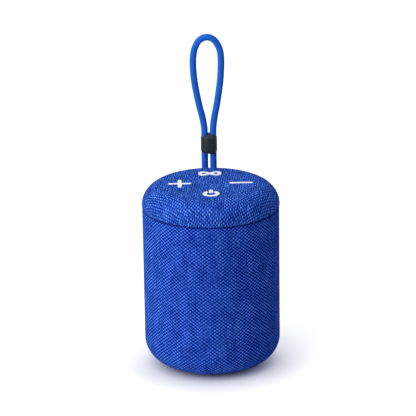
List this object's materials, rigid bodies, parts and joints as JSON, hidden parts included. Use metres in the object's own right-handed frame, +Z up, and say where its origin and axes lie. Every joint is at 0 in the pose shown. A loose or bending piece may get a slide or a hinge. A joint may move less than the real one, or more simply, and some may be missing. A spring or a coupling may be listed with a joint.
{
  "type": "portable bluetooth speaker",
  "caption": "Cloth-covered upright cylinder speaker with rounded ends, sprung keys in the crown, a wrist lanyard with a sliding bead, and ports behind a rubber cover.",
  "frame": {"origin": "middle of the foot ring's underside, on the table", "axes": "+Z up along the body, -Y to the front where the power key is, +X towards the minus key; the lanyard and the ports are at the back (+Y)"},
  "size_m": [0.085, 0.085, 0.2013],
  "materials": {
    "cloth": "woven, matte",
    "sign_print": "heat-pressed film",
    "moulding": "fine moulded texture",
    "rubber": "matte",
    "foam": "matte",
    "board": "solder mask",
    "steel": "plated",
    "ferrite": "ground",
    "cone_paper": "pulp",
    "copper": "wound wire",
    "cell_wrap": "shrink wrap on steel",
    "cord": "braided",
    "bead": "satin"
  },
  "bodies": {
    "root": {"side_cloth": "cloth", "crown_cloth": "cloth", "crown_frame": "moulding", "key_board": "board", "tact_switches": "steel", "deflector": "moulding", "crown_screws": "steel", "housing": "moulding", "driver_gasket": "foam", "driver_basket": "steel", "driver_magnet": "ferrite", "driver_yoke": "steel", "driver_surround": "rubber", "driver_screws": "steel", "radiator_gasket": "foam", "radiator_frame": "moulding", "radiator_surround": "rubber", "radiator_screws": "steel", "battery_cell": "cell_wrap", "battery_tray": "moulding", "main_board": "board", "board_screws": "steel", "usb_socket": "steel", "aux_jack": "moulding", "port_bezel": "moulding", "base_cap": "moulding", "foot_ring": "rubber", "base_screws": "steel", "lanyard_cord": "cord", "lanyard_crimp": "steel"},
    "key_plus": {"key_cap_plus": "moulding", "key_cloth_plus": "cloth", "sign_plus": "sign_print", "switch_button_plus": "moulding"},
    "key_minus": {"key_cap_minus": "moulding", "key_cloth_minus": "cloth", "sign_minus": "sign_print", "switch_button_minus": "moulding"},
    "key_link": {"key_cap_link": "moulding", "key_cloth_link": "cloth", "sign_link": "sign_print", "switch_button_link": "moulding"},
    "key_power": {"key_cap_power": "moulding", "key_cloth_power": "cloth", "sign_power": "sign_print", "switch_button_power": "moulding"},
    "cone": {"driver_cone": "cone_paper", "voice_coil": "copper", "dust_cap": "cone_paper"},
    "radiator": {"radiator_plate": "moulding", "radiator_weight": "steel"},
    "cover": {"port_cover": "rubber"},
    "bead": {"lanyard_bead": "bead"}
  },
  "joints": [
    {"name": "key_plus_press", "type": "slide", "parent": "root", "child": "key_plus", "axis": [0, 0, -1], "range_m": [0, 0.0003], "stiffness_N_per_m": 4000},
    {"name": "key_minus_press", "type": "slide", "parent": "root", "child": "key_minus", "axis": [0, 0, -1], "range_m": [0, 0.0003], "stiffness_N_per_m": 4000},
    {"name": "key_link_press", "type": "slide", "parent": "root", "child": "key_link", "axis": [0, 0, -1], "range_m": [0, 0.0003], "stiffness_N_per_m": 4000},
    {"name": "key_power_press", "type": "slide", "parent": "root", "child": "key_power", "axis": [0, 0, -1], "range_m": [0, 0.0003], "stiffness_N_per_m": 4000},
    {"name": "cone_stroke", "type": "slide", "parent": "root", "child": "cone", "axis": [0, 0, 1], "range_m": [-0.002, 0.002], "stiffness_N_per_m": 1500},
    {"name": "radiator_stroke", "type": "slide", "parent": "root", "child": "radiator", "axis": [0, 0, 1], "range_m": [-0.002, 0.002], "stiffness_N_per_m": 800},
    {"name": "cover_swing", "type": "hinge", "parent": "root", "child": "cover", "pos_m": [-0.0147, 0.03988, 0.0555], "axis": [0, 0, 1], "range_deg": [0, 120]},
    {"name": "bead_slide", "type": "slide", "parent": "root", "child": "bead", "axis": [0, 0, 1], "range_m": [-0.008, 0]}
  ]
}
